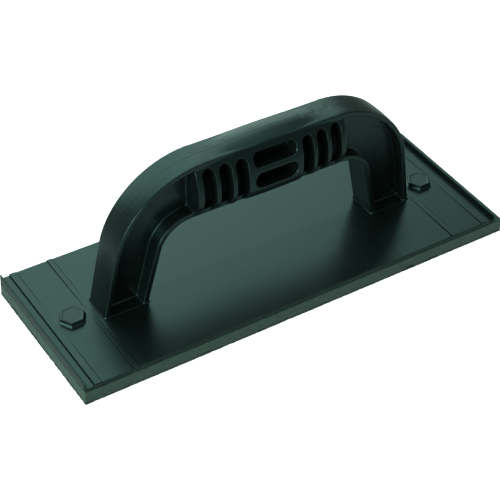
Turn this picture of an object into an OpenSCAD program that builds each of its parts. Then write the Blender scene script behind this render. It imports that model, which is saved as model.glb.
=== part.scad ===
// Hand sanding block: a moulded D-shaped handle with I-section legs and a ribbed grip,
// a flat rectangular base plate, and a replaceable rubber sole held by two hexagon bolts.
// X runs along the block, Y across it, Z up. The abrasive face rests on Z = 0.

/* [Block] */
// Length of the base plate
block_length = 240; // [236:1:280]
// Width of the base plate
block_width = 87; // [80:1:110]

/* [Sole] */
// Thickness of the abrasive layer
abrasive_thickness = 0.8; // [0.6:0.1:1.5]
// Thickness of the rubber pad
pad_thickness = 6.9; // [6.8:0.1:10]
// Thickness of the metal backing sheet let into the top of the pad
backing_thickness = 1.5; // [1:0.1:2]
// How far the sole runs past the plate at its +X end
sole_overhang = 5.4; // [0:0.1:6]

/* [Base plate] */
// Thickness of the plate along its centreline
plate_thickness = 3.05; // [3:0.05:5]
// Fall of the plate's upper face from the centreline to each long edge
plate_fall = 0.45; // [0.2:0.05:0.6]
// Height of the two end lips above the plate's centreline
lip_height = 1.9; // [0.6:0.1:2.5]

/* [Handle] */
// Height of the grip's strap edge above the underside of the sole
grip_height = 83; // [80:0.2:90]
// Height of the finger window's top above the underside of the sole
window_height = 52.9; // [50:0.1:54]
// Half of the distance over the legs at the plate
leg_reach = 89.8; // [86:0.2:90]
// Width of each leg at the plate
leg_width = 23.6; // [20:0.1:25]
// Width of the strap that runs over the handle
strap_width = 16.1; // [15:0.1:18]
// Greatest width of the grip
grip_width = 30.4; // [28:0.2:32]

/* [Bolts] */
// Distance of each bolt from the middle of the block
bolt_offset = 103.1; // [100:0.1:104]
// Width of the hexagon head across its flats
bolt_flats = 11.1; // [10:0.1:13]
// Diameter of the bolt's shank
shank_diameter = 6.35; // [5:0.05:6.5]

/* [Shown part] */
// Name of the part to draw

/* [Hidden] */
$fn = 96;
eps = 0.05;

// Levels
pad_bottom = abrasive_thickness;
plate_bottom = pad_bottom + pad_thickness;
plate_top = plate_bottom + plate_thickness;
lip_top = plate_top + lip_height;
backing_bottom = plate_bottom - backing_thickness;

// Plate details, measured inward from each end
half_length = block_length / 2;
half_width = block_width / 2;
corner_radius = 1.5;
lip_width = 1.1;
groove_end = 5.25;
groove_depth = 0.9;
end_ridge_width = 3.45;
inner_ridge_start = 25.6;
inner_ridge_width = 2.6;
socket_clearance = 0.2;
socket_floor = 1.2;

// Handle outline
outer_lean = 9.9;
outer_radius = 48.6;
inner_lean = 13;
inner_radius = 17;
strap_thickness = 2.6;
strap_crown = 0.3;
joint_inset = 0.06;
joint_lap = 0.5;
flange_thickness = 2.8;
flange_width = 16;
web_thickness = 2.2;
leg_foot = plate_top;
tongue_bottom = plate_bottom + socket_floor + eps;

// Grip
grip_half_length = 42;
grip_swell = 2.7;
grip_corner = 10.5;
grip_sink = 0.1;
swell_height = 2.5;
swell_reach = 32.7;
swell_sink = 0.5;
swell_inset = 0.03;
slot_width = 6.3;
slot_pitch = 8.6;
slot_first = 18.5;
slot_count = 3;
slot_top = 79.5;
pocket_half_length = 12;
upper_pocket = [73.1, 80.3];
lower_pocket = [62.4, 70.4];
pocket_floor = 4.5;

// Bolts and nuts
bolt_corner_radius = bolt_flats / 2 / cos(30);
head_step = 0.5;
head_step_out = 1;
head_height = 2.7;
head_chamfer = 0.35;
bolt_clearance = 0.35;
bolt_hole_radius = shank_diameter / 2 + bolt_clearance;
nut_height = 3;
nut_radius = 6;
nut_spigot_radius = 4.6;
nut_pocket_gap = 0.4;
shank_end = backing_bottom - nut_height + 0.3;
backing_inset = 4;

// Centre of a bend whose arc touches a leaning leg line and a level top line
function bend_z(top, r) = top - r;
function bend_x(foot, lean, r, top) =
    foot - r * cos(lean) - (bend_z(top, r) + r * sin(lean) - leg_foot) * tan(lean);

// Area under an arch that stands on the plate, drawn in X and Z
module arch_area(foot, lean, r, top) {
    xc = bend_x(foot, lean, r, top);
    zc = bend_z(top, r);
    tx = xc + r * cos(lean);
    tz = zc + r * sin(lean);
    polygon([[-foot, leg_foot], [-tx, tz], [-xc, top], [xc, top], [tx, tz], [foot, leg_foot]]);
    intersection() {
        union() {
            translate([-xc, zc]) circle(r);
            translate([xc, zc]) circle(r);
        }
        translate([-foot, leg_foot]) square([2 * foot, top]);
    }
}

// Turns a shape drawn in X and Z into a slab centred on Y = 0
module slab(width) {
    translate([0, width / 2, 0]) rotate([90, 0, 0]) linear_extrude(width) children();
}

// Areas bounded by the handle's outer and window outlines, each grown inward or outward
module outer_area(inset) {
    arch_area(leg_reach - inset / cos(outer_lean), outer_lean, outer_radius - inset,
              grip_height - inset);
}

module window_area(grow) {
    arch_area(leg_reach - leg_width + grow / cos(inner_lean), inner_lean, inner_radius + grow,
              window_height + grow);
}

// Cross-section of the strap: level inside, gently crowned outside; X is outward
module strap_section(inset) {
    half = strap_width / 2 - inset;
    crown = strap_crown - inset;
    depth = strap_thickness - inset;
    crown_radius = (half * half + crown * crown) / (2 * crown);
    translate([-depth, -half]) square([depth, 2 * half]);
    intersection() {
        translate([crown - crown_radius, 0]) circle(crown_radius);
        translate([-depth, -half]) square([depth + crown, 2 * half]);
    }
}

// One leg and one bend of the strap, on the +X side; the leg's end is let into the bend
module strap_side() {
    xc = bend_x(leg_reach, outer_lean, outer_radius, grip_height);
    zc = bend_z(grip_height, outer_radius);
    leg_length = (zc + outer_radius * sin(outer_lean) - leg_foot) / cos(outer_lean);
    translate([xc, 0, zc]) rotate([90, 0, 0]) rotate([0, 0, outer_lean])
        rotate_extrude(angle = 90 - outer_lean) translate([outer_radius, 0]) strap_section(0);
    intersection() {
        translate([leg_reach, 0, leg_foot]) rotate([0, -outer_lean, 0])
            translate([0, 0, -strap_thickness])
                linear_extrude(leg_length + strap_thickness + joint_lap)
                    strap_section(joint_inset);
        translate([0, -strap_width, leg_foot]) cube([2 * leg_reach, 2 * strap_width, grip_height]);
    }
}

// The level stretch of the strap with a palm swell along its middle. The swell's crest is a
// long arch whose ends and flanks sink into the strap.
module strap_top() {
    xc = bend_x(leg_reach, outer_lean, outer_radius, grip_height);
    half = strap_width / 2 - swell_inset;
    rise = swell_height - strap_crown + swell_sink;
    arch_radius = (swell_reach * swell_reach + rise * rise) / (2 * rise);
    sweep = 2 * asin(swell_reach / arch_radius);
    section_radius = (half * half + swell_height * swell_height) / (2 * swell_height);
    translate([-xc - joint_lap, 0, grip_height]) rotate([0, 90, 0]) rotate([0, 0, 180])
        linear_extrude(2 * (xc + joint_lap)) strap_section(joint_inset);
    intersection() {
        translate([0, 0, grip_height + swell_height - arch_radius]) rotate([90, 0, 0])
            rotate([0, 0, 90 - sweep / 2]) rotate_extrude(angle = sweep, $fn = 360)
                intersection() {
                    translate([arch_radius - section_radius, 0]) circle(section_radius);
                    translate([arch_radius - section_radius, -half])
                        square([section_radius, 2 * half]);
                }
        translate([-swell_reach, -strap_width, grip_height - strap_thickness / 2])
            cube([2 * swell_reach, 2 * strap_width, section_radius]);
    }
}

// Half of the grip's egg-shaped cross-section; X is outward from the middle of the handle
module grip_section() {
    half = grip_width / 2;
    corner_x = half - grip_corner;
    corner_z = window_height + grip_corner;
    shoulder = grip_height - corner_z;
    top_half = strap_width / 2;
    side_offset = (shoulder * shoulder + top_half * top_half - half * half)
        / (2 * (half - top_half));
    translate([0, window_height]) square([corner_x, grip_height - window_height]);
    translate([0, corner_z]) intersection() {
        circle(grip_corner + corner_x);
        square([half, 0.1]);
    }
    translate([corner_x, corner_z]) circle(grip_corner);
    intersection() {
        translate([-side_offset, corner_z]) circle(side_offset + half);
        translate([0, corner_z]) square([half, shoulder]);
    }
}

// One side of the grip, swelling gently towards its middle; it lies on the -Y side
module grip_side() {
    plan_radius = (grip_half_length * grip_half_length + grip_swell * grip_swell)
        / (2 * grip_swell);
    axis_y = plan_radius - grip_width / 2;
    sweep = 2 * asin(grip_half_length / axis_y) + 2;
    intersection() {
        translate([0, axis_y, 0]) rotate([0, 0, -90 - sweep / 2])
            rotate_extrude(angle = sweep, $fn = 360) translate([axis_y, 0]) grip_section();
        slab(grip_width * 2) intersection() {
            translate([-grip_half_length, 0]) square([2 * grip_half_length, grip_height]);
            outer_area(grip_sink);
        }
    }
}

// A finger slot through one side of the grip, rounded at its top
module grip_slot(x) {
    radius = slot_width / 2;
    floor_y = web_thickness / 2;
    translate([x, -grip_width, slot_top - radius]) rotate([-90, 0, 0])
        cylinder(h = grip_width - floor_y, r = radius);
    translate([x - radius, -grip_width, window_height + flange_thickness])
        cube([slot_width, grip_width - floor_y,
              slot_top - radius - window_height - flange_thickness]);
    translate([x - radius, -grip_width, 0])
        cube([slot_width, grip_width - flange_width / 2, grip_height / 2 + grip_corner * 2]);
}

// A pocket with rounded corners in the middle of the grip's side
module grip_pocket(levels, radius) {
    translate([0, -pocket_floor, 0]) rotate([90, 0, 0]) linear_extrude(grip_width) {
        translate([-pocket_half_length + radius, levels[0]])
            square([2 * (pocket_half_length - radius), levels[1] - levels[0]]);
        translate([-pocket_half_length, levels[0] + radius])
            square([2 * pocket_half_length, levels[1] - levels[0] - 2 * radius]);
        for (x = [-1, 1]) for (z = [levels[0] + radius, levels[1] - radius])
            translate([x * (pocket_half_length - radius), z]) circle(radius);
    }
}

// One finished side of the grip with its slots and pockets
module ribbed_grip_side() {
    difference() {
        grip_side();
        for (side = [-1, 1]) for (i = [0 : slot_count - 1])
            grip_slot(side * (slot_first + i * slot_pitch));
        grip_pocket(upper_pocket, 3);
        grip_pocket(lower_pocket, 3.9);
    }
}

// Block that closes a leg's lower end and sits in the plate's socket
module leg_tongue() {
    translate([leg_reach - leg_width, -flange_width / 2, tongue_bottom])
        cube([leg_width, flange_width, leg_foot - tongue_bottom + eps]);
}

module handle() {
    color([0.06, 0.065, 0.065]) {
        slab(web_thickness) difference() {
            outer_area(strap_thickness / 2);
            window_area(flange_thickness / 2);
        }
        slab(flange_width) difference() {
            window_area(flange_thickness);
            window_area(0);
        }
        strap_top();
        for (side = [0, 1]) mirror([side, 0, 0]) {
            strap_side();
            leg_tongue();
        }
        for (side = [0, 1]) mirror([0, side, 0]) ribbed_grip_side();
    }
}

// Plan outline of the plate with its four rounded corners
module plate_outline() {
    translate([-half_length + corner_radius, -half_width])
        square([block_length - 2 * corner_radius, block_width]);
    translate([-half_length, -half_width + corner_radius])
        square([block_length, block_width - 2 * corner_radius]);
    for (x = [-1, 1]) for (y = [-1, 1])
        translate([x * (half_length - corner_radius), y * (half_width - corner_radius)])
            circle(corner_radius);
}

// Wedges that take the plate's upper face down towards its long edges between two stations
module field_cut(x_from, x_to) {
    reach = half_width + 1;
    fall = plate_fall * reach / half_width;
    for (side = [0, 1]) mirror([0, side, 0])
        translate([x_from, 0, plate_top]) rotate([90, 0, 90])
            linear_extrude(x_to - x_from)
                polygon([[0, 0], [reach, -fall], [reach, 1], [0, 1]]);
}

// Everything cut from the upper face near the +X end
module plate_end_cuts() {
    ridge_end = groove_end + end_ridge_width;
    translate([half_length - groove_end, -half_width - 1, plate_top - groove_depth])
        cube([groove_end - lip_width, block_width + 2, groove_depth + lip_height + 1]);
    field_cut(half_length - inner_ridge_start, half_length - ridge_end);
    translate([bolt_offset, 0, plate_bottom - 1])
        cylinder(h = plate_thickness + 2, r = bolt_hole_radius);
    translate([leg_reach - leg_width - socket_clearance,
               -flange_width / 2 - socket_clearance, plate_bottom + socket_floor])
        cube([leg_width + 2 * socket_clearance, flange_width + 2 * socket_clearance,
              plate_thickness]);
}

module base_plate() {
    field_end = half_length - inner_ridge_start - inner_ridge_width;
    inner_face = half_length - lip_width;
    color([0.07, 0.075, 0.075]) difference() {
        translate([0, 0, plate_bottom]) linear_extrude(lip_top - plate_bottom) plate_outline();
        translate([-inner_face, -half_width - 1, plate_top])
            cube([2 * inner_face, block_width + 2, lip_height + 1]);
        field_cut(-field_end, field_end);
        for (side = [0, 1]) mirror([side, 0, 0]) plate_end_cuts();
    }
}

// Hexagon bolt on the centreline; its head's corners point along the block
module hex_bolt(x) {
    head_base = plate_top;
    body_height = head_height - head_step - head_chamfer;
    color([0.09, 0.095, 0.095]) translate([x, 0, 0]) {
        translate([0, 0, head_base])
            linear_extrude(head_step) circle(bolt_corner_radius + head_step_out, $fn = 6);
        translate([0, 0, head_base + head_step])
            linear_extrude(body_height) circle(bolt_corner_radius, $fn = 6);
        intersection() {
            translate([0, 0, head_base + head_step])
                linear_extrude(head_height - head_step) circle(bolt_corner_radius, $fn = 6);
            translate([0, 0, head_base + head_height - head_chamfer * 2])
                cylinder(h = head_chamfer * 2, r1 = bolt_corner_radius + head_chamfer,
                         r2 = bolt_corner_radius - head_chamfer);
        }
        translate([0, 0, shank_end])
            cylinder(h = head_base - shank_end + eps, r = shank_diameter / 2);
    }
}

module left_hex_bolt() {
    hex_bolt(-bolt_offset);
}

module right_hex_bolt() {
    hex_bolt(bolt_offset);
}

// Low round nut whose spigot is pressed into the backing sheet from below
module sole_nut(x) {
    color([0.55, 0.55, 0.56]) translate([x, 0, 0]) difference() {
        union() {
            translate([0, 0, backing_bottom - nut_height])
                cylinder(h = nut_height, r = nut_radius);
            translate([0, 0, backing_bottom - eps])
                cylinder(h = backing_thickness - 0.2 + eps, r = nut_spigot_radius);
        }
        translate([0, 0, backing_bottom - nut_height - 1])
            cylinder(h = nut_height + backing_thickness + 2, r = bolt_hole_radius);
    }
}

module left_sole_nut() {
    sole_nut(-bolt_offset);
}

module right_sole_nut() {
    sole_nut(bolt_offset);
}

module backing_sheet() {
    spigot_hole = nut_spigot_radius + 0.3;
    color([0.6, 0.6, 0.61]) difference() {
        translate([-half_length + backing_inset, -half_width + backing_inset, backing_bottom])
            cube([block_length - 2 * backing_inset, block_width - 2 * backing_inset,
                  backing_thickness]);
        for (side = [-1, 1]) translate([side * bolt_offset, 0, backing_bottom - 1])
            cylinder(h = backing_thickness + 2, r = spigot_hole);
    }
}

module rubber_pad() {
    color([0.16, 0.18, 0.17]) difference() {
        translate([-half_length, -half_width, pad_bottom])
            cube([block_length + sole_overhang, block_width, pad_thickness]);
        translate([-half_length + backing_inset, -half_width + backing_inset, backing_bottom])
            cube([block_length - 2 * backing_inset, block_width - 2 * backing_inset,
                  backing_thickness + 1]);
        for (side = [-1, 1])
            translate([side * bolt_offset, 0, backing_bottom - nut_height - nut_pocket_gap])
                cylinder(h = nut_height + nut_pocket_gap + 1, r = nut_radius + nut_pocket_gap);
    }
}

module abrasive_sheet() {
    color([0.1, 0.1, 0.1])
        translate([-half_length, -half_width, 0])
            cube([block_length + sole_overhang, block_width, abrasive_thickness]);
}

handle();
base_plate();
left_hex_bolt();
right_hex_bolt();
left_sole_nut();
right_sole_nut();
backing_sheet();
rubber_pad();
abrasive_sheet();
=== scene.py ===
"""Hand sanding block: the visual model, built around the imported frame. Lengths are in metres."""

import math

import bmesh
import bpy
import numpy as np
from mathutils import Matrix, Vector, noise
from mathutils.bvhtree import BVHTree


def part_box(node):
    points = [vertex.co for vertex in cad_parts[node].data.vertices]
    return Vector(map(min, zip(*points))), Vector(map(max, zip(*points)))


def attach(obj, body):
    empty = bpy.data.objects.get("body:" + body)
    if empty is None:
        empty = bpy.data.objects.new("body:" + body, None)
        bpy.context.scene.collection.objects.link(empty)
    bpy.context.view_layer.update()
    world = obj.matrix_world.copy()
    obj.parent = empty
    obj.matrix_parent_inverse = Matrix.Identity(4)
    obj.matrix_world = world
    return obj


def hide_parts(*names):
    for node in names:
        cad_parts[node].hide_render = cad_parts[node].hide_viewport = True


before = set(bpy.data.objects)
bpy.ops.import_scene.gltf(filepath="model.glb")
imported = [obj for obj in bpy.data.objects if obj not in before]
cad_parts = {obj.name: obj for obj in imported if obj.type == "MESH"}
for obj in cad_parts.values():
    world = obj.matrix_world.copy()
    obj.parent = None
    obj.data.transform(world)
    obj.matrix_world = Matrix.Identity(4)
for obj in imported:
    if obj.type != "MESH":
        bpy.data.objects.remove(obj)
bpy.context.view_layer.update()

MM = 0.001

# camera: angles in degrees, lens and sensor in millimetres
CAM_AZIMUTH = -35.157
CAM_ELEVATION = 40.779
CAM_ROLL = 3.267
CAM_DISTANCE = 0.7518
CAM_TARGET = (-0.00987, -0.00949, 0.020)
CAM_LENS = 110.465
CAM_SENSOR = 36.0

# welding and smoothing of meshes
REMESH_WELD = 0.001 * MM
WELD = 0.002 * MM
FLAT_ANGLE = 0.4
SMOOTH_FACTOR = 0.5

# handle: mesh, smoothing and wear; a facing is the least share of a normal that points that way
STRAP_HALF_WIDTH = 8.05 * MM
HANDLE_VOXEL = 0.32 * MM
HANDLE_SMOOTHING = 9
TOP_SMOOTHING = 420
TOP_FROM = 81 * MM
TOP_INSET = 2.2 * MM
TOP_FACING = 0.5
WEAR_FROM = 0.06
WEAR_RANGE = 0.14

# handle: feet, from just below the plate's face upwards
FOOT_FILLET = 0.6 * MM
SOCKET_FILL = 0.35 * MM
SOCKET_LOW = -1.0 * MM
SOCKET_HIGH = 0.12 * MM
SOCKET_FACING = 0.3
TONGUE_PROUD = 0.01 * MM
TONGUE_FACING = 0.2
FLARE_FACING = 0.5

# handle: grip recesses, into which shade is painted by a duller copy of the plastic
GRIP_HALF_LENGTH = 41 * MM
GRIP_BOTTOM = 57 * MM
GRIP_TOP = 80 * MM
RECESS_CELL = 1 * MM
RECESS_REACH = 14
RECESS_LIP = 2 * MM

# handle: sink marks on the strap, a little off its middle line
SINK_PLACES = [side * offset * MM for side in (-1, 1) for offset in (21.5, 29.8, 37.6)]
SINK_SIDE = 0.4 * MM
SINK_DEPTH = 0.11 * MM
SINK_ALONG = 1.1 * MM
SINK_ACROSS = 1.7 * MM
SINK_FROM = 76 * MM

# handle: parting line, found by rays towards a point inside the finger window
BEAD_HALF_WIDTH = 0.3 * MM
BEAD_HEIGHT = 0.07 * MM
BEAD_SINK = 0.15 * MM
BEAD_PROFILE = ((-1.0, -1.0), (-0.55, 0.7), (0.0, 1.0), (0.55, 0.7), (1.0, -1.0))
BEAD_CENTRE = (0, 0, 30 * MM)
BEAD_RAY_LENGTH = 0.3
BEAD_FIRST_ANGLE = 42
BEAD_LAST_ANGLE = 138
BEAD_STEPS = 300

# bevels on bolts, nuts and backing sheet
EDGE_SEGMENTS = 2

# bolts: rings of the head as (in from its corner, down from its top) and of the flared base
# below it as (out from its corner, up from the plate), in millimetres
HEAD_HEIGHT = 2.7 * MM
HEAD_RINGS = ((1.9, 0.22), (1.1, 0.16), (0.8, 0.0), (0.4, 0.0), (0.06, 0.3), (0.0, 0.45))
FLARE_RINGS = ((0.0, 1.3), (0.25, 0.8), (0.55, 0.45), (0.9, 0.12), (1.0, 0.0))
FLARE_WIDTH = FLARE_RINGS[-1][0] * MM
SHANK_RADIUS = 3.175 * MM
SHANK_OVERLAP = 0.1 * MM
BOLT_SIDE_PARTS = 6
BOLT_EDGE = 0.1 * MM

# plate: heights, rims and corners; a rounding's middle station is at a share of its radius
PLATE_LIP = 1.9 * MM
PLATE_FALL = 0.45 * MM
PLATE_RIM = 0.5 * MM
REBATE_WIDTH = 1.1 * MM
REBATE_HEIGHT = 1.15 * MM
PLATE_EDGE = 0.1 * MM
PLATE_CORNER = 1.5 * MM
ROUND_MIDDLE = 0.3
BOLT_HOLE_RADIUS = 3.525 * MM
BOLT_HOLE_SIDES = 48

# plate: lips, channels, ridges and creases, placed by their distance from the plate's end
LIP_WIDTH = 1.1 * MM
LIP_ROUND = 0.55 * MM
CHANNEL_END = 5.25 * MM
CHANNEL_DEPTH = 0.9 * MM
CHANNEL_CREASE = 0.15 * MM
END_RIDGE_END = 8.7 * MM
INNER_RIDGE_START = 25.6 * MM
INNER_RIDGE_WIDTH = 2.6 * MM
CREASE_WIDTH = 0.35 * MM
CREASE_DEPTH = 0.5 * MM
LIP, CHANNEL, RIDGE, FIELD = range(4)

# nuts and backing sheet
NUT_EDGE = 0.2 * MM
SHEET_EDGE = 0.15 * MM

# sole: depths and their noise, as frequency per metre and a weight or a layer
PAD_VOXEL = 0.7 * MM
PAD_SMOOTHING = 1
PAD_SIDE_BAND = 0.9 * MM
PAD_PIT_DEPTH = 0.34 * MM
PAD_PIT_NOISE = ((900, 0.6), (380, 0.7))
PAD_TEAR_DEPTH = 1.5 * MM
PAD_TEAR_NOISE = 120
PAD_TEAR_SHIFT = (3.1, 7.7, 0)
PAD_TEAR_FROM = 0.25
ABRASIVE_CELL = 0.75 * MM
ABRASIVE_GAP = 0.02 * MM
ABRASIVE_RAG = 0.35 * MM
ABRASIVE_RAG_NOISE = (420, 0.3)
ABRASIVE_GRIT = 0.16 * MM
ABRASIVE_GRIT_NOISE = (1100, 0.7)
ABRASIVE_GRIT_MEAN = 0.45
ABRASIVE_GRIT_SWING = 0.55

# colours, linear; each pair is the darker and the lighter end of a mottle
PLASTIC_COLOURS = ((0.0018, 0.0025, 0.0025), (0.0032, 0.0045, 0.0043))
# lighter colour of worn edges; on the plate it also paints a glint into concave corners
PLASTIC_WEAR_AND_GLINT = (0.045, 0.062, 0.057)
WEAR_AND_GLINT_RADIUS = 0.2 * MM
WEAR_AND_GLINT_SHARE = 0.3
PLASTIC_SCRATCHED = (0.05, 0.064, 0.06)
SCRATCH_SHARE = 0.25
PLASTIC_TINT = (0.57, 1.0, 1.0, 1)
BOLT_COLOURS = ((0.0040, 0.0060, 0.0056), (0.0075, 0.0105, 0.0100))
BOLT_TINT = (0.6, 1.0, 1.0, 1)
ZINC_COLOURS = ((0.42, 0.42, 0.43), (0.66, 0.66, 0.68))
ALUMINIUM_COLOURS = ((0.52, 0.52, 0.53), (0.7, 0.7, 0.71))
RUBBER_COLOURS = ((0.0034, 0.0135, 0.009), (0.0145, 0.052, 0.036))
RUBBER_BLOTCH = (0.0062, 0.0235, 0.016)
GRIT_COLOURS = ((0.018, 0.026, 0.022), (0.07, 0.09, 0.078))
SURFACE_IOR = 1.5

# studio; each glow is (direction's z at its start, z at its full strength, strength)
FLOOR_SIZE = 6.0
FLOOR_COLOUR = (0.92, 0.92, 0.92, 1)
FLOOR_GLOW = 0.8
LIGHT_TINT = (0.74, 1.0, 0.9)
SKY_HIGH = 2.05
SKY_LOW = 0.18
SKY_TOWARDS = (0, 1.0, 0.5)
SKY_RISE_FROM = 0.78
SKY_RISE_TO = 0.97
GROUND_GLOW = (-0.1, -0.3, 0.3)
ZENITH_GLOW = (0.7, 0.9, 0.75)
SOFTBOX_PLACE = (-1.1, -0.45, 0.4)
SOFTBOX_AIM = (0, 0, 0.01)
SOFTBOX_WIDTH = 0.8
SOFTBOX_HEIGHT = 0.5
SOFTBOX_WATTS = 15


def make_camera():
    a = math.radians(CAM_AZIMUTH)
    e = math.radians(CAM_ELEVATION)
    r = math.radians(CAM_ROLL)
    back = Vector((math.sin(a) * math.cos(e), -math.cos(a) * math.cos(e), math.sin(e)))
    level = Vector((math.cos(a), math.sin(a), 0.0))
    upright = back.cross(level)
    right = math.cos(r) * level + math.sin(r) * upright
    up = -math.sin(r) * level + math.cos(r) * upright
    data = bpy.data.cameras.new("camera")
    data.lens = CAM_LENS
    data.sensor_width = CAM_SENSOR
    camera = bpy.data.objects.new("camera", data)
    bpy.context.scene.collection.objects.link(camera)
    place = Matrix((right, up, back)).transposed().to_4x4()
    place.translation = Vector(CAM_TARGET) + CAM_DISTANCE * back
    camera.matrix_world = place
    bpy.context.scene.camera = camera


# ---------------------------------------------------------------- materials

def new_material(name):
    """An empty node material with its Principled shader and its surface coordinates."""
    material = bpy.data.materials.new(name)
    material.use_nodes = True
    nodes = material.node_tree.nodes
    shader = nodes["Principled BSDF"]
    place = nodes.new("ShaderNodeTexCoord")
    return material, nodes, material.node_tree.links, shader, place.outputs["Object"]


def noise_field(nodes, links, place, scale, detail, roughness=0.55):
    field = nodes.new("ShaderNodeTexNoise")
    field.inputs["Scale"].default_value = scale
    field.inputs["Detail"].default_value = detail
    field.inputs["Roughness"].default_value = roughness
    links.new(place, field.inputs["Vector"])
    return field.outputs["Fac"]


def spread(nodes, links, value, low, high, from_low=0.3, from_high=0.7):
    """Maps a field onto a range of values; by default the field's middle part."""
    node = nodes.new("ShaderNodeMapRange")
    node.inputs["From Min"].default_value = from_low
    node.inputs["From Max"].default_value = from_high
    node.inputs["To Min"].default_value = low
    node.inputs["To Max"].default_value = high
    links.new(value, node.inputs["Value"])
    return node.outputs["Result"]


def blend_colour(nodes, links, factor, first, second):
    """Mixes two colours by a field; each is a tuple or a colour output."""
    node = nodes.new("ShaderNodeMix")
    node.data_type = "RGBA"
    links.new(factor, node.inputs["Factor"])
    for socket, colour in ((node.inputs[6], first), (node.inputs[7], second)):
        if isinstance(colour, tuple):
            socket.default_value = (*colour, 1)
        else:
            links.new(colour, socket)
    return node.outputs[2]


def mottled(nodes, links, field, colours):
    """A colour that a noise field moves between a dark and a light one."""
    return blend_colour(nodes, links, spread(nodes, links, field, 0.0, 1.0), *colours)


def edge_field(nodes, links, radius):
    """Near 1 along sharp edges, convex and concave alike, and 0 on open faces."""
    bevel = nodes.new("ShaderNodeBevel")
    bevel.samples = 4
    bevel.inputs["Radius"].default_value = radius
    plain = nodes.new("ShaderNodeNewGeometry")
    dot = nodes.new("ShaderNodeVectorMath")
    dot.operation = "DOT_PRODUCT"
    links.new(bevel.outputs["Normal"], dot.inputs[0])
    links.new(plain.outputs["Normal"], dot.inputs[1])
    return spread(nodes, links, dot.outputs["Value"], low=1.0, high=0.0,
                  from_low=0.86, from_high=0.995)


def add_bumps(nodes, links, shader, fields):
    """Chains bumps of (field, strength, distance) into the shader's normal."""
    normal = None
    for field, strength, distance in fields:
        bump = nodes.new("ShaderNodeBump")
        bump.inputs["Strength"].default_value = strength
        bump.inputs["Distance"].default_value = distance
        links.new(field, bump.inputs["Height"])
        if normal is not None:
            links.new(normal, bump.inputs["Normal"])
        normal = bump.outputs["Normal"]
    links.new(normal, shader.inputs["Normal"])


def scratch_field(nodes, links, place, turn, stretch):
    """Thin stretched streaks for the light scratches of use."""
    mapping = nodes.new("ShaderNodeMapping")
    mapping.inputs["Rotation"].default_value = (0, 0, math.radians(turn))
    mapping.inputs["Scale"].default_value = (1.0, stretch, 1.0)
    links.new(place, mapping.inputs["Vector"])
    streak = noise_field(nodes, links, mapping.outputs["Vector"],
                         scale=9.0, detail=2.0, roughness=0.5)
    return spread(nodes, links, streak, 0.0, 1.0, from_low=0.7, from_high=0.76)


def wear_attribute(nodes):
    """The wear that mark_wear stored in the mesh."""
    wear = nodes.new("ShaderNodeAttribute")
    wear.attribute_name = "edge_wear"
    return wear.outputs["Fac"]


def moulded_plastic(name, roughness, scratches, specular=0.5):
    """Black moulded plastic, lighter along worn edges, with or without scratches; with scratches the
    edge field also lightens concave corners, a painted glint.
    """
    material, nodes, links, shader, place = new_material(name)
    mottle = noise_field(nodes, links, place, scale=38.0, detail=4.0)
    grain = noise_field(nodes, links, place, scale=2600.0, detail=2.0)
    flow = noise_field(nodes, links, place, scale=130.0, detail=3.0)
    # with scratches the bevel field lightens convex edges as wear and concave corners as a painted
    # glint; without, the stored wear lies on convex edges only
    wear_and_glint = edge_field(nodes, links, WEAR_AND_GLINT_RADIUS) if scratches else wear_attribute(nodes)
    base = mottled(nodes, links, mottle, PLASTIC_COLOURS)
    wear_and_glint_share = spread(nodes, links, wear_and_glint, 0.0, WEAR_AND_GLINT_SHARE, from_low=0.0, from_high=1.0)
    base = blend_colour(nodes, links, wear_and_glint_share, base, PLASTIC_WEAR_AND_GLINT)
    if scratches:
        marks = scratch_field(nodes, links, place, turn=24, stretch=38.0)
        marked = spread(nodes, links, marks, 0.0, SCRATCH_SHARE, from_low=0.0, from_high=1.0)
        base = blend_colour(nodes, links, marked, base, PLASTIC_SCRATCHED)
    links.new(base, shader.inputs["Base Color"])
    links.new(spread(nodes, links, flow, *roughness), shader.inputs["Roughness"])
    shader.inputs["IOR"].default_value = SURFACE_IOR
    shader.inputs["Specular IOR Level"].default_value = specular
    shader.inputs["Specular Tint"].default_value = PLASTIC_TINT
    add_bumps(nodes, links, shader, ((grain, 0.12, 0.03 * MM), (flow, 0.04, 0.05 * MM)))
    return material


def bolt_paint(name):
    """Satin black paint."""
    material, nodes, links, shader, place = new_material(name)
    mottle = noise_field(nodes, links, place, scale=260.0, detail=4.0)
    grain = noise_field(nodes, links, place, scale=1900.0, detail=2.0)
    links.new(mottled(nodes, links, mottle, BOLT_COLOURS), shader.inputs["Base Color"])
    links.new(spread(nodes, links, mottle, 0.3, 0.44), shader.inputs["Roughness"])
    shader.inputs["IOR"].default_value = SURFACE_IOR
    shader.inputs["Specular Tint"].default_value = BOLT_TINT
    add_bumps(nodes, links, shader, ((grain, 0.15, 0.03 * MM),))
    return material


def bare_metal(name, colours, brushing):
    """Metal with a grain that is drawn out by a scale along each axis."""
    material, nodes, links, shader, place = new_material(name)
    mapping = nodes.new("ShaderNodeMapping")
    mapping.inputs["Scale"].default_value = brushing
    links.new(place, mapping.inputs["Vector"])
    grain = noise_field(nodes, links, mapping.outputs["Vector"], scale=900.0, detail=3.0)
    blotch = noise_field(nodes, links, place, scale=70.0, detail=4.0)
    links.new(mottled(nodes, links, blotch, colours), shader.inputs["Base Color"])
    links.new(spread(nodes, links, grain, 0.28, 0.5), shader.inputs["Roughness"])
    shader.inputs["Metallic"].default_value = 1.0
    add_bumps(nodes, links, shader, ((grain, 0.2, 0.03 * MM),))
    return material


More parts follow.
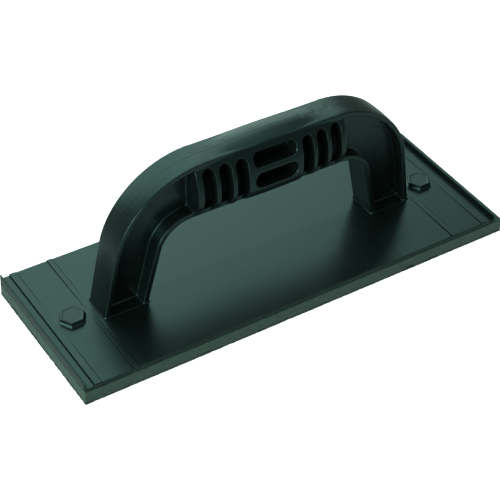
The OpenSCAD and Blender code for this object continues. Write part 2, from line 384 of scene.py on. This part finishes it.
def sole_rubber(name):
    """Rough-cut rubber: mottled and pitted."""
    material, nodes, links, shader, place = new_material(name)
    mottle = noise_field(nodes, links, place, scale=420.0, detail=5.0, roughness=0.7)
    blotch = noise_field(nodes, links, place, scale=45.0, detail=3.0)
    pits = nodes.new("ShaderNodeTexVoronoi")
    pits.inputs["Scale"].default_value = 1100.0
    links.new(place, pits.inputs["Vector"])
    base = mottled(nodes, links, mottle, RUBBER_COLOURS)
    base = blend_colour(nodes, links, spread(nodes, links, blotch, 0.0, 0.35),
                        base, RUBBER_BLOTCH)
    links.new(base, shader.inputs["Base Color"])
    links.new(spread(nodes, links, mottle, 0.75, 0.95), shader.inputs["Roughness"])
    shader.inputs["Sheen Weight"].default_value = 0.06
    shader.inputs["Sheen Roughness"].default_value = 0.6
    add_bumps(nodes, links, shader,
              ((pits.outputs["Distance"], 0.5, 0.12 * MM), (mottle, 0.5, 0.15 * MM)))
    return material


def abrasive_grit(name):
    """Dark grit, rougher between its grains."""
    material, nodes, links, shader, place = new_material(name)
    grit = nodes.new("ShaderNodeTexVoronoi")
    grit.inputs["Scale"].default_value = 1500.0
    links.new(place, grit.inputs["Vector"])
    tint = noise_field(nodes, links, place, scale=900.0, detail=3.0)
    links.new(mottled(nodes, links, tint, GRIT_COLOURS), shader.inputs["Base Color"])
    links.new(spread(nodes, links, grit.outputs["Distance"], 0.45, 0.9, 0.0, 0.7),
              shader.inputs["Roughness"])
    add_bumps(nodes, links, shader, ((grit.outputs["Distance"], 0.8, 0.15 * MM),))
    return material


def pale_floor(name):
    """White with a glow of its own, so that it stays white in the picture."""
    material, _, _, shader, _ = new_material(name)
    shader.inputs["Base Color"].default_value = FLOOR_COLOUR
    shader.inputs["Roughness"].default_value = 0.9
    shader.inputs["Specular IOR Level"].default_value = 0.1
    shader.inputs["Emission Color"].default_value = (1, 1, 1, 1)
    shader.inputs["Emission Strength"].default_value = FLOOR_GLOW
    return material


# ---------------------------------------------------------------- mesh helpers

def paint(obj, material):
    obj.data.materials.clear()
    obj.data.materials.append(material)


def coordinates(mesh):
    flat = np.empty(len(mesh.vertices) * 3, np.float32)
    mesh.vertices.foreach_get("co", flat)
    return flat.reshape(-1, 3)


def normals(mesh):
    flat = np.empty(len(mesh.vertices) * 3, np.float32)
    mesh.vertex_normals.foreach_get("vector", flat)
    return flat.reshape(-1, 3)


def move_vertices(mesh, points):
    mesh.vertices.foreach_set("co", points.astype(np.float32).ravel())
    mesh.update()


def add_object(name, mesh):
    obj = bpy.data.objects.new(name, mesh)
    bpy.context.scene.collection.objects.link(obj)
    return obj


def mesh_from(work, name):
    """A mesh with the work's faces; the work is freed."""
    mesh = bpy.data.meshes.new(name)
    work.to_mesh(mesh)
    work.free()
    return mesh


def solid_from(work, name):
    """A mesh with the work's faces, all turned outwards."""
    bmesh.ops.recalc_face_normals(work, faces=work.faces)
    return mesh_from(work, name)


def grid_rim(last, far):
    """The index pairs round the outside of a grid, once round."""
    return ([(i, 0) for i in range(last)] + [(last, j) for j in range(far)]
            + [(i, far) for i in range(last, 0, -1)] + [(0, j) for j in range(far, 0, -1)])


def shade_smooth(mesh):
    mesh.polygons.foreach_set("use_smooth", [True] * len(mesh.polygons))
    mesh.update()


def remeshed_copy(node, name, voxel, smoothing):
    """A copy of a CAD node as one even mesh whose edges are rounded by smoothing."""
    source = bpy.data.objects[node]
    work = bmesh.new()
    work.from_mesh(source.data)
    bmesh.ops.remove_doubles(work, verts=work.verts, dist=REMESH_WELD)
    welded = mesh_from(work, name + "_work")
    temporary = add_object(name + "_work", welded)
    remesh = temporary.modifiers.new("remesh", "REMESH")
    remesh.mode = "VOXEL"
    remesh.voxel_size = voxel
    smooth = temporary.modifiers.new("smooth", "SMOOTH")
    smooth.factor = SMOOTH_FACTOR
    smooth.iterations = smoothing
    graph = bpy.context.evaluated_depsgraph_get()
    mesh = bpy.data.meshes.new_from_object(temporary.evaluated_get(graph))
    bpy.data.objects.remove(temporary)
    bpy.data.meshes.remove(welded)
    mesh.name = name
    mesh.materials.clear()
    shade_smooth(mesh)
    return add_object(name, mesh)


def edge_ends(mesh):
    """The two ends of each edge, as two arrays of vertex numbers."""
    ends = np.empty(len(mesh.edges) * 2, np.int32)
    mesh.edges.foreach_get("vertices", ends)
    return ends.reshape(-1, 2).T


def neighbour_count(first, second, total):
    """How many of the given edges meet at each vertex, but at least 1."""
    degree = np.bincount(first, minlength=total) + np.bincount(second, minlength=total)
    return np.maximum(degree, 1)[:, None]


def neighbour_sum(points, first, second):
    """The sum of each vertex's neighbours along the given edges."""
    total = len(points)
    return np.stack([np.bincount(first, points[second, k], total)
                     + np.bincount(second, points[first, k], total) for k in range(3)], 1)


def relax(mesh, weights, rounds):
    """Laplacian smoothing in proportion to a weight from 0 to 1 at each vertex."""
    first, second = edge_ends(mesh)
    keep = (weights[first] > 0) | (weights[second] > 0)
    first, second = first[keep], second[keep]
    points = coordinates(mesh).astype(float)
    degree = neighbour_count(first, second, len(points))
    for _ in range(rounds):
        mean = neighbour_sum(points, first, second) / degree
        points += SMOOTH_FACTOR * weights[:, None] * (mean - points)
    move_vertices(mesh, points)


def mark_wear(mesh, cell):
    """Stores how convex the surface is at each vertex, for the lighter worn edges."""
    first, second = edge_ends(mesh)
    points = coordinates(mesh).astype(float)
    mean = neighbour_sum(points, first, second) / neighbour_count(first, second, len(points))
    convex = ((points - mean) * normals(mesh)).sum(1) / cell
    wear = np.clip((convex - WEAR_FROM) / WEAR_RANGE, 0, 1).astype(np.float32)
    mesh.attributes.new("edge_wear", "FLOAT", "POINT").data.foreach_set("value", wear)


def paint_recess_shade(piece, shaded_copy):
    """Paints shade into the slots and pockets of the grip: their faces get a duller copy of the
    plastic, whose weak reflections darken them.

    A face is in one where it lies deeper than RECESS_LIP below the grip's outline, which is the
    widest place within RECESS_REACH cells along the grip."""
    piece.data.materials.append(shaded_copy)
    flat = np.empty(len(piece.data.polygons) * 3, np.float32)
    piece.data.polygons.foreach_get("center", flat)
    x, y, z = flat.reshape(-1, 3).T
    column = np.floor((x + GRIP_HALF_LENGTH) / RECESS_CELL).astype(int)
    row = np.floor((z - GRIP_BOTTOM) / RECESS_CELL).astype(int)
    columns = int(2 * GRIP_HALF_LENGTH / RECESS_CELL)
    rows = int((GRIP_TOP - GRIP_BOTTOM) / RECESS_CELL)
    grip = (column >= 0) & (column < columns) & (row >= 0) & (row < rows)
    reach = np.zeros((columns, rows), np.float32)
    np.maximum.at(reach, (column[grip], row[grip]), np.abs(y[grip]))
    outline = reach.copy()
    for shift in range(1, RECESS_REACH + 1):
        outline[shift:] = np.maximum(outline[shift:], reach[:-shift])
        outline[:-shift] = np.maximum(outline[:-shift], reach[shift:])
    index = np.zeros(len(x), np.int32)
    index[grip] = np.abs(y[grip]) < outline[column[grip], row[grip]] - RECESS_LIP
    piece.data.polygons.foreach_set("material_index", index)


def add_bevel(piece, width, angle):
    """Rounds the edges sharper than an angle in degrees."""
    bevel = piece.modifiers.new("edge", "BEVEL")
    bevel.width = width
    bevel.segments = EDGE_SEGMENTS
    bevel.limit_method = "ANGLE"
    bevel.angle_limit = math.radians(angle)


def soften_edges(node, width):
    """Rounds the sharp edges of a CAD node with modifiers; its own mesh stays as it is."""
    obj = bpy.data.objects[node]
    weld = obj.modifiers.new("weld", "WELD")
    weld.merge_threshold = WELD
    flat = obj.modifiers.new("flat", "DECIMATE")
    flat.decimate_type = "DISSOLVE"
    flat.angle_limit = math.radians(FLAT_ANGLE)
    add_bevel(obj, width, angle=35)
    return obj


# ---------------------------------------------------------------- handle

def smooth_top(piece):
    """Evens out the strap's upper face and leaves its edges."""
    points = coordinates(piece.data)
    edge_y = STRAP_HALF_WIDTH - TOP_INSET
    crest = np.clip((edge_y - np.abs(points[:, 1])) / TOP_INSET, 0, 1)
    crest *= (points[:, 2] > TOP_FROM) & (normals(piece.data)[:, 2] > TOP_FACING)
    relax(piece.data, crest, TOP_SMOOTHING)


def flare_feet(points, facing):
    """Closes the gap round the feet, levels their ledges with the plate and flares them above it."""
    deck = deck_level(points[:, 1])
    height = points[:, 2] - deck
    sideways = facing.copy()
    sideways[:, 2] = 0
    length = np.linalg.norm(sideways, axis=1, keepdims=True)
    outward = np.where(length > SOCKET_FACING, sideways / np.maximum(length, 1e-6), 0)
    below = (height < SOCKET_HIGH) & (height > SOCKET_LOW)
    rim = below & (facing[:, 2] > TONGUE_FACING)
    points = points + outward * (SOCKET_FILL * below)[:, None]
    points[:, 2] = np.where(rim, deck + TONGUE_PROUD, points[:, 2])
    band = (height > 0) & (height < FOOT_FILLET) & (length[:, 0] > FLARE_FACING)
    rest = np.clip((FOOT_FILLET - np.clip(height, 0, None)) / FOOT_FILLET, 0, 1)
    flare = FOOT_FILLET * (1 - np.sqrt(1 - rest ** 2)) * band * ~rim
    return points + outward * flare[:, None]


def press_sinks(points):
    """Presses the shallow sink marks into the strap."""
    for place in SINK_PLACES:
        along = (points[:, 0] - place) / SINK_ALONG
        across = (points[:, 1] - SINK_SIDE) / SINK_ACROSS
        dip = SINK_DEPTH * np.exp(-along ** 2 - across ** 2)
        points[:, 2] = points[:, 2] - dip * (points[:, 2] > SINK_FROM)


def build_handle(plastic, shaded_copy):
    """The moulded handle: rounded edges, flared feet, sink marks on top, painted shade in the
    recesses.
    """
    piece = remeshed_copy("handle", "moulded_handle", HANDLE_VOXEL, HANDLE_SMOOTHING)
    smooth_top(piece)
    points = flare_feet(coordinates(piece.data), normals(piece.data))
    press_sinks(points)
    move_vertices(piece.data, points)
    mark_wear(piece.data, HANDLE_VOXEL)
    paint(piece, plastic)
    paint_recess_shade(piece, shaded_copy)
    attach(piece, "root")
    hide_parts("handle")
    return piece


def strap_path(handle):
    """Points along the middle of the strap's outer face, each with its outward direction."""
    graph = bpy.context.evaluated_depsgraph_get()
    tree = BVHTree.FromObject(handle, graph)
    path = []
    for step in range(BEAD_STEPS + 1):
        share = step / BEAD_STEPS
        angle = math.radians(BEAD_FIRST_ANGLE + (BEAD_LAST_ANGLE - BEAD_FIRST_ANGLE) * share)
        direction = Vector((math.cos(angle), 0, math.sin(angle)))
        start = Vector(BEAD_CENTRE) + direction * BEAD_RAY_LENGTH
        hit, facing, _, _ = tree.ray_cast(start, -direction)
        if hit is not None:
            path.append((hit, Vector((facing.x, 0, facing.z)).normalized()))
    return path


def build_parting_line(handle, plastic):
    """The thin raised line that the mould's joint leaves along the middle of the strap."""
    work = bmesh.new()
    rings = []
    for hit, outward in strap_path(handle):
        ring = []
        for across, up in BEAD_PROFILE:
            lift = BEAD_HEIGHT * up if up > 0 else BEAD_SINK * up
            sideways = Vector((0, across * BEAD_HALF_WIDTH, 0))
            ring.append(work.verts.new(hit + outward * lift + sideways))
        rings.append(ring)
    for first, second in zip(rings, rings[1:]):
        for i in range(len(BEAD_PROFILE)):
            j = (i + 1) % len(BEAD_PROFILE)
            work.faces.new((first[i], first[j], second[j], second[i]))
    work.faces.new(rings[0])
    work.faces.new(rings[-1][::-1])
    mesh = solid_from(work, "handle_parting_line")
    shade_smooth(mesh)
    piece = add_object("handle_parting_line", mesh)
    paint(piece, plastic)
    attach(piece, "root")


# ---------------------------------------------------------------- plate

def deck_level(y):
    """The height of the plate's field, which falls from its middle to its long edges."""
    _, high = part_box("base_plate")
    return high[2] - PLATE_LIP - PLATE_FALL * np.abs(y) / high[1]


def rounded_edge(place, radius, inward=1):
    """Three stations that round a lip's edge; inward is -1 where the lip lies before it."""
    middle = ROUND_MIDDLE * radius
    stations = [(place, LIP, radius), (place + inward * middle, LIP, middle),
                (place + inward * radius, LIP, 0)]
    return stations[::inward]


def ridge(start, end):
    """The stations of a ridge with its two edges broken."""
    return [(start, RIDGE, PLATE_EDGE), (start + PLATE_EDGE, RIDGE, 0),
            (end - PLATE_EDGE, RIDGE, 0), (end, RIDGE, PLATE_EDGE)]


def plate_stations():
    """Places along the plate as (distance from its end, kind of surface, drop below it)."""
    inner = INNER_RIDGE_START
    inner_end = INNER_RIDGE_START + INNER_RIDGE_WIDTH
    return (rounded_edge(0, PLATE_RIM)
            + rounded_edge(LIP_WIDTH, LIP_ROUND, inward=-1)
            + [(LIP_WIDTH, CHANNEL, CHANNEL_CREASE), (LIP_WIDTH + CREASE_WIDTH, CHANNEL, 0),
               (CHANNEL_END - CREASE_WIDTH, CHANNEL, 0), (CHANNEL_END, CHANNEL, CHANNEL_CREASE)]
            + ridge(CHANNEL_END, END_RIDGE_END)
            + [(END_RIDGE_END, FIELD, CREASE_DEPTH), (END_RIDGE_END + CREASE_WIDTH, FIELD, 0),
               (inner - CREASE_WIDTH, FIELD, 0), (inner, FIELD, CREASE_DEPTH)]
            + ridge(inner, inner_end)
            + [(inner_end, FIELD, CREASE_DEPTH), (inner_end + CREASE_WIDTH, FIELD, 0)])


def plate_rows(high):
    """Lines along the plate as (place across it, drop of the rounded rim there)."""
    half = [(high.y - inset, drop) for inset, _, drop in rounded_edge(0, PLATE_RIM)]
    half += [(high.y - 0.5 * PLATE_CORNER, 0), (high.y - PLATE_CORNER, 0)]
    half += [(share * high.y, 0) for share in (0.75, 0.5, 0.25)]
    return [(-y, drop) for y, drop in half] + [(0, 0)] + half[::-1]


def plate_height(kind, drop, distance, y):
    """The height of the plate's top surface at one station, at a place across it.

    Beyond the channel the creases and edges fade out towards the plate's middle."""
    _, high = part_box("base_plate")
    share = abs(y) / high[1]
    top = high[2] - PLATE_LIP
    if distance > CHANNEL_END + 2 * PLATE_EDGE:
        drop = drop * share
    if kind == LIP:
        return high[2] - drop
    if kind == CHANNEL:
        return top - CHANNEL_DEPTH - drop
    if kind == RIDGE:
        return top - drop
    return top - PLATE_FALL * share - drop


def round_corner(x, y, high):
    """Draws a point of the plate's plan in to the rounded corner."""
    corner = Vector((high.x - PLATE_CORNER, high.y - PLATE_CORNER))
    out = Vector((abs(x) - corner.x, abs(y) - corner.y))
    if min(out) > 0 and out.length > PLATE_CORNER:
        out *= PLATE_CORNER / out.length
        return math.copysign(corner.x + out.x, x), math.copysign(corner.y + out.y, y)
    return x, y


def plate_solid(low, high):
    """The plate as a closed mesh: a grid on top, a rebated base and the sides between them."""
    stations = plate_stations()
    columns = [(low.x + station[0], *station) for station in stations]
    columns += [(high.x - station[0], *station) for station in reversed(stations)]
    rows = plate_rows(high)
    work = bmesh.new()
    top = []
    base = []
    for x, distance, kind, drop in columns:
        top_line = []
        base_line = []
        for y, rim_drop in rows:
            px, py = round_corner(x, y, high)
            z = plate_height(kind, drop, distance, y) - rim_drop
            top_line.append(work.verts.new((px, py, z)))
            inner_x = math.copysign(min(abs(px), high.x - REBATE_WIDTH), px)
            inner_y = math.copysign(min(abs(py), high.y - REBATE_WIDTH), py)
            base_line.append(work.verts.new((inner_x, inner_y, low.z)))
        top.append(top_line)
        base.append(base_line)
    last = len(columns) - 1
    far = len(rows) - 1
    for i in range(last):
        for j in range(far):
            work.faces.new((top[i][j], top[i + 1][j], top[i + 1][j + 1], top[i][j + 1]))
            work.faces.new((base[i][j], base[i][j + 1], base[i + 1][j + 1], base[i + 1][j]))
    rim = grid_rim(last, far)
    shelf = low.z + REBATE_HEIGHT
    loops = [[top[i][j] for i, j in rim],
             [work.verts.new((top[i][j].co.x, top[i][j].co.y, shelf)) for i, j in rim],
             [work.verts.new((base[i][j].co.x, base[i][j].co.y, shelf)) for i, j in rim],
             [base[i][j] for i, j in rim]]
    for upper, lower in zip(loops, loops[1:]):
        for k in range(len(rim)):
            m = (k + 1) % len(rim)
            work.faces.new((upper[k], lower[k], lower[m], upper[m]))
    bmesh.ops.remove_doubles(work, verts=work.verts, dist=WELD)
    return solid_from(work, "moulded_plate_solid")


def drilled(solid, drill_length):
    """The plate's mesh with a clearance hole for each bolt."""
    blank = add_object("plate_blank", solid)
    drills = []
    for bolt in ("left_hex_bolt", "right_hex_bolt"):
        low, high = (Vector(v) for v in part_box(bolt))
        work = bmesh.new()
        bmesh.ops.create_cone(work, cap_ends=True, segments=BOLT_HOLE_SIDES, depth=drill_length,
                              radius1=BOLT_HOLE_RADIUS, radius2=BOLT_HOLE_RADIUS)
        bmesh.ops.translate(work, verts=work.verts, vec=(low + high) / 2)
        drill = add_object("drill", mesh_from(work, "drill"))
        drills.append(drill)
        cut = blank.modifiers.new("hole", "BOOLEAN")
        cut.object = drill
        cut.solver = "EXACT"
    graph = bpy.context.evaluated_depsgraph_get()
    mesh = bpy.data.meshes.new_from_object(blank.evaluated_get(graph))
    for item in [blank] + drills:
        data = item.data
        bpy.data.objects.remove(item)
        bpy.data.meshes.remove(data)
    return mesh


def build_plate(plastic):
    """The plate: rounded rims, crisp steps and a fine crease along the foot of each step."""
    low, high = (Vector(v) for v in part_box("base_plate"))
    mesh = drilled(plate_solid(low, high), 4 * (high.z - low.z))
    mesh.name = "moulded_plate"
    piece = add_object("moulded_plate", mesh)
    paint(piece, plastic)
    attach(piece, "root")
    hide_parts("base_plate")


# ---------------------------------------------------------------- sole

def build_pad(rubber):
    """The rubber pad with torn, pitted cut sides; its faces towards its neighbours stay flat."""
    piece = remeshed_copy("rubber_pad", "sole_pad", PAD_VOXEL, PAD_SMOOTHING)
    low, high = (Vector(v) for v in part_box("rubber_pad"))
    points = coordinates(piece.data).astype(float)
    sides = ((0, low.x, 1), (0, high.x, -1), (1, low.y, 1), (1, high.y, -1))
    for axis, level, inward in sides:
        near = np.abs(points[:, axis] - level) < PAD_SIDE_BAND
        for i in np.flatnonzero(near):
            spot = Vector(points[i])
            pit = sum(amount * noise.noise(spot * scale) for scale, amount in PAD_PIT_NOISE)
            torn = noise.noise(spot * PAD_TEAR_NOISE + Vector(PAD_TEAR_SHIFT))
            tear = max(0.0, torn - PAD_TEAR_FROM)
            lower = 1 - (points[i, 2] - low.z) / (high.z - low.z)
            depth = PAD_PIT_DEPTH * (0.5 + 0.5 * pit) + PAD_TEAR_DEPTH * tear * lower
            points[i, axis] += inward * max(depth, 0.0)
    move_vertices(piece.data, points)
    paint(piece, rubber)
    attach(piece, "root")
    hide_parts("rubber_pad")


def plan_noise(x, y, frequency, layer):
    """Noise over the plan, cut from the field at a layer of its own."""
    return noise.noise(Vector((x * frequency, y * frequency, layer)))


def build_abrasive(grit):
    """The abrasive layer: a thin closed sheet with a gritty underside and a ragged edge."""
    low, high = (Vector(v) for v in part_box("abrasive_sheet"))
    columns = int((high.x - low.x) / ABRASIVE_CELL)
    rows = int((high.y - low.y) / ABRASIVE_CELL)
    work = bmesh.new()
    layers = []
    for level in (low.z, high.z - ABRASIVE_GAP):
        grid = []
        for i in range(columns + 1):
            line = []
            for j in range(rows + 1):
                x = low.x + (high.x - low.x) * i / columns
                y = low.y + (high.y - low.y) * j / rows
                rag = ABRASIVE_RAG * abs(plan_noise(x, y, *ABRASIVE_RAG_NOISE))
                x += rag * ((i == 0) - (i == columns))
                y += rag * ((j == 0) - (j == rows))
                z = level
                if level == low.z:
                    grain = ABRASIVE_GRIT_SWING * plan_noise(x, y, *ABRASIVE_GRIT_NOISE)
                    z += ABRASIVE_GRIT * max(0.0, ABRASIVE_GRIT_MEAN + grain)
                line.append(work.verts.new((x, y, z)))
            grid.append(line)
        layers.append(grid)
    under, upper = layers
    for layer, grid in enumerate(layers):
        for i in range(columns):
            for j in range(rows):
                quad = [grid[i][j], grid[i + 1][j], grid[i + 1][j + 1], grid[i][j + 1]]
                work.faces.new(quad if layer else quad[::-1])
    rim = grid_rim(columns, rows)
    for (i, j), (k, m) in zip(rim, rim[1:] + rim[:1]):
        work.faces.new((under[i][j], under[k][m], upper[k][m], upper[i][j]))
    piece = add_object("sole_abrasive", solid_from(work, "sole_abrasive"))
    paint(piece, grit)
    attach(piece, "root")
    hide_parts("abrasive_sheet")


# ---------------------------------------------------------------- bolts

def hexagon_ring(radius):
    """Points round a regular hexagon, BOLT_SIDE_PARTS to a side."""
    ring = []
    for side in range(6):
        first = math.radians(60 * side)
        second = math.radians(60 * (side + 1))
        for part in range(BOLT_SIDE_PARTS):
            share = part / BOLT_SIDE_PARTS
            ring.append((radius * (math.cos(first) * (1 - share) + math.cos(second) * share),
                         radius * (math.sin(first) * (1 - share) + math.sin(second) * share)))
    return ring


def circle_ring(radius, count):
    """Points round a circle."""
    turns = [2 * math.pi * i / count for i in range(count)]
    return [(radius * math.cos(turn), radius * math.sin(turn)) for turn in turns]


def add_stack(work, middle, rings):
    """A closed solid through rings of (points round the middle, height)."""
    loops = [[work.verts.new((middle.x + x, middle.y + y, level)) for x, y in ring]
             for ring, level in rings]
    for upper, lower in zip(loops, loops[1:]):
        for i in range(len(upper)):
            j = (i + 1) % len(upper)
            work.faces.new((upper[i], lower[i], lower[j], upper[j]))
    work.faces.new(loops[0])
    work.faces.new(loops[-1][::-1])


def build_bolt(node, name, black):
    """A hexagon bolt: flared base, chamfered head with a raised rim and dished top, shank."""
    low, high = (Vector(v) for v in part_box(node))
    middle = (low + high) / 2
    deck = high.z - HEAD_HEIGHT
    corner = (high.x - low.x) / 2 - FLARE_WIDTH
    rings = [(hexagon_ring(corner - inward * MM), high.z - down * MM)
             for inward, down in HEAD_RINGS]
    rings += [(hexagon_ring(corner + out * MM), deck + up * MM) for out, up in FLARE_RINGS]
    shank = circle_ring(SHANK_RADIUS, 6 * BOLT_SIDE_PARTS)
    work = bmesh.new()
    add_stack(work, middle, rings)
    add_stack(work, middle, [(shank, deck + SHANK_OVERLAP), (shank, low.z)])
    piece = add_object(name, solid_from(work, name))
    add_bevel(piece, BOLT_EDGE, angle=40)
    paint(piece, black)
    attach(piece, "root")
    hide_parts(node)


# ---------------------------------------------------------------- studio

def make_floor():
    """A white floor that glossy surfaces don't mirror."""
    work = bmesh.new()
    bmesh.ops.create_grid(work, x_segments=1, y_segments=1, size=FLOOR_SIZE / 2)
    floor = add_object("floor", mesh_from(work, "floor"))
    paint(floor, pale_floor("floor_white"))
    floor.visible_glossy = False


def smooth_step(nodes, links, value, start, end, low, high):
    """Moves from low to high where a value goes from start to end."""
    step = nodes.new("ShaderNodeMapRange")
    step.interpolation_type = "SMOOTHSTEP"
    step.inputs["From Min"].default_value = start
    step.inputs["From Max"].default_value = end
    step.inputs["To Min"].default_value = low
    step.inputs["To Max"].default_value = high
    links.new(value, step.inputs["Value"])
    return step.outputs["Result"]


def make_sky():
    """A sky that brightens towards one direction, with a glow from below and one overhead."""
    world = bpy.data.worlds.new("studio")
    bpy.context.scene.world = world
    world.use_nodes = True
    nodes = world.node_tree.nodes
    links = world.node_tree.links
    place = nodes.new("ShaderNodeTexCoord").outputs["Generated"]
    towards = nodes.new("ShaderNodeVectorMath")
    towards.operation = "DOT_PRODUCT"
    towards.inputs[1].default_value = SKY_TOWARDS
    links.new(place, towards.inputs[0])
    split = nodes.new("ShaderNodeSeparateXYZ")
    links.new(place, split.inputs["Vector"])
    glow = smooth_step(nodes, links, towards.outputs["Value"],
                       SKY_RISE_FROM, SKY_RISE_TO, SKY_LOW, SKY_HIGH)
    for start, end, amount in (GROUND_GLOW, ZENITH_GLOW):
        total = nodes.new("ShaderNodeMath")
        links.new(glow, total.inputs[0])
        links.new(smooth_step(nodes, links, split.outputs["Z"], start, end, 0, amount),
                  total.inputs[1])
        glow = total.outputs["Value"]
    links.new(glow, nodes["Background"].inputs["Strength"])
    nodes["Background"].inputs["Color"].default_value = (*LIGHT_TINT, 1)


def make_softbox():
    """A soft light from the left, hidden from the camera."""
    data = bpy.data.lights.new("left_softbox", "AREA")
    data.shape = "RECTANGLE"
    data.size = SOFTBOX_WIDTH
    data.size_y = SOFTBOX_HEIGHT
    data.energy = SOFTBOX_WATTS
    data.color = LIGHT_TINT
    lamp = bpy.data.objects.new("left_softbox", data)
    lamp.location = SOFTBOX_PLACE
    aim = Vector(SOFTBOX_AIM) - Vector(SOFTBOX_PLACE)
    lamp.rotation_euler = aim.to_track_quat("-Z", "Y").to_euler()
    lamp.visible_camera = False
    bpy.context.scene.collection.objects.link(lamp)


make_camera()
handle_plastic = moulded_plastic("handle_plastic", (0.25, 0.35), scratches=False)
# a shaded copy of the handle plastic: weak, rougher reflections paint shade into the grip's recesses
recess_shade_plastic = moulded_plastic("recess_shade_plastic", (0.4, 0.55), scratches=False, specular=0.12)
plate_plastic = moulded_plastic("plate_plastic", (0.28, 0.31), scratches=True)
bolt_black = bolt_paint("bolt_paint")
zinc = bare_metal("zinc_plate", ZINC_COLOURS, brushing=(1, 1, 6))
aluminium = bare_metal("sheet_aluminium", ALUMINIUM_COLOURS, brushing=(1, 12, 1))

handle = build_handle(handle_plastic, recess_shade_plastic)
build_parting_line(handle, handle_plastic)
build_pad(sole_rubber("pad_rubber"))
build_abrasive(abrasive_grit("abrasive_grit"))
build_plate(plate_plastic)
build_bolt("left_hex_bolt", "left_bolt", bolt_black)
build_bolt("right_hex_bolt", "right_bolt", bolt_black)
for nut in ("left_sole_nut", "right_sole_nut"):
    paint(soften_edges(nut, NUT_EDGE), zinc)
paint(soften_edges("backing_sheet", SHEET_EDGE), aluminium)

make_floor()
make_sky()
make_softbox()
bpy.context.scene.view_settings.view_transform = "Standard"
